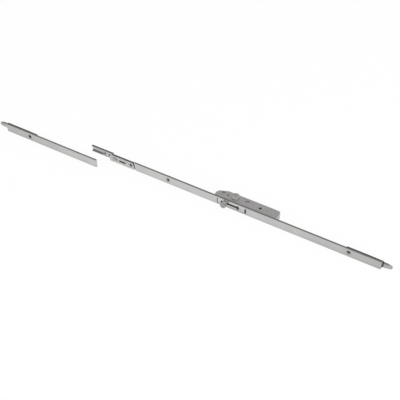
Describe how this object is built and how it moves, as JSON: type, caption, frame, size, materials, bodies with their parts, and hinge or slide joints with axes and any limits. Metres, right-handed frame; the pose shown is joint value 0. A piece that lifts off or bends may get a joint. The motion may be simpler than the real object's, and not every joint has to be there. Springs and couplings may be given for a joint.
{
  "type": "window espagnolette gearbox",
  "caption": "Inline window espagnolette: slim faceplate with gearbox, mushroom cam and sliding shoot bolts at both ends, its coupling end open and its extension taken off.",
  "frame": {"origin": "on the axis of the square spindle hole, halfway across the faceplate's width", "axes": "+X along the faceplate towards the main shoot bolt; +Y from the faceplate back towards the gearbox's rear wall; +Z along the spindle axis, out of the raised boss"},
  "size_m": [0.7218, 0.0488, 0.0165],
  "materials": {
    "plated_steel": "zinc-plated strip, silver, satin",
    "cast_zinc": "die-cast zinc alloy, silver plated, fine matt",
    "sintered_steel": "sintered steel, oiled",
    "pin_steel": "turned steel, zinc plated",
    "dark_polyamide": "moulded polyamide, dark grey"
  },
  "bodies": {
    "gear_frame": {"main_faceplate": "plated_steel", "cam_slot_plate": "cast_zinc", "gearbox_case": "cast_zinc", "gearbox_cover": "cast_zinc", "case_rivet": "pin_steel", "reversing_axle": "pin_steel", "coupling_channel": "plated_steel", "connector_plate": "cast_zinc", "connector_rivet": "pin_steel", "screw_bush": "plated_steel", "channel_keeper": "pin_steel", "right_rod_keeper": "pin_steel", "bolt_guide": "dark_polyamide", "extension_faceplate": "plated_steel", "extension_rod_keeper": "pin_steel", "extension_bolt_guide": "dark_polyamide"},
    "follower": {"follower_pinion": "sintered_steel"},
    "reverser": {"reversing_pinion": "sintered_steel"},
    "left_drive": {"front_rack": "sintered_steel", "left_drive_rod": "plated_steel", "cam_stud": "pin_steel"},
    "mushroom": {"cam_roller": "pin_steel"},
    "right_drive": {"rear_rack": "sintered_steel", "right_drive_rod": "plated_steel", "shoot_bolt": "cast_zinc"},
    "extension_drive": {"extension_rod": "plated_steel", "extension_bolt": "cast_zinc"}
  },
  "joints": [
    {"name": "follower_turn", "type": "hinge", "parent": "gear_frame", "child": "follower", "pos_m": [0, 0, 0], "axis": [0, 0, 1], "range_deg": [0, 90]},
    {"name": "left_rod_slide", "type": "slide", "parent": "gear_frame", "child": "left_drive", "axis": [1, 0, 0], "range_m": [0, 0.01257]},
    {"name": "right_rod_slide", "type": "slide", "parent": "gear_frame", "child": "right_drive", "axis": [1, 0, 0], "range_m": [-0.01257, 0]},
    {"name": "reverser_turn", "type": "hinge", "parent": "gear_frame", "child": "reverser", "pos_m": [0.046, -0.003, 0], "axis": [0, 0, 1], "range_deg": [0, 144.01]},
    {"name": "cam_roller_turn", "type": "hinge", "parent": "left_drive", "child": "mushroom", "pos_m": [-0.011, -0.0186, 0], "axis": [0, 1, 0], "continuous": true},
    {"name": "extension_rod_slide", "type": "slide", "parent": "gear_frame", "child": "extension_drive", "axis": [1, 0, 0], "range_m": [0, 0.01257]}
  ],
  "couplings": [
    {"joint": "follower_turn", "follows": "left_rod_slide", "rad_per_m": 125},
    {"joint": "right_rod_slide", "follows": "left_rod_slide", "ratio": -1},
    {"joint": "reverser_turn", "follows": "left_rod_slide", "rad_per_m": 200}
  ]
}
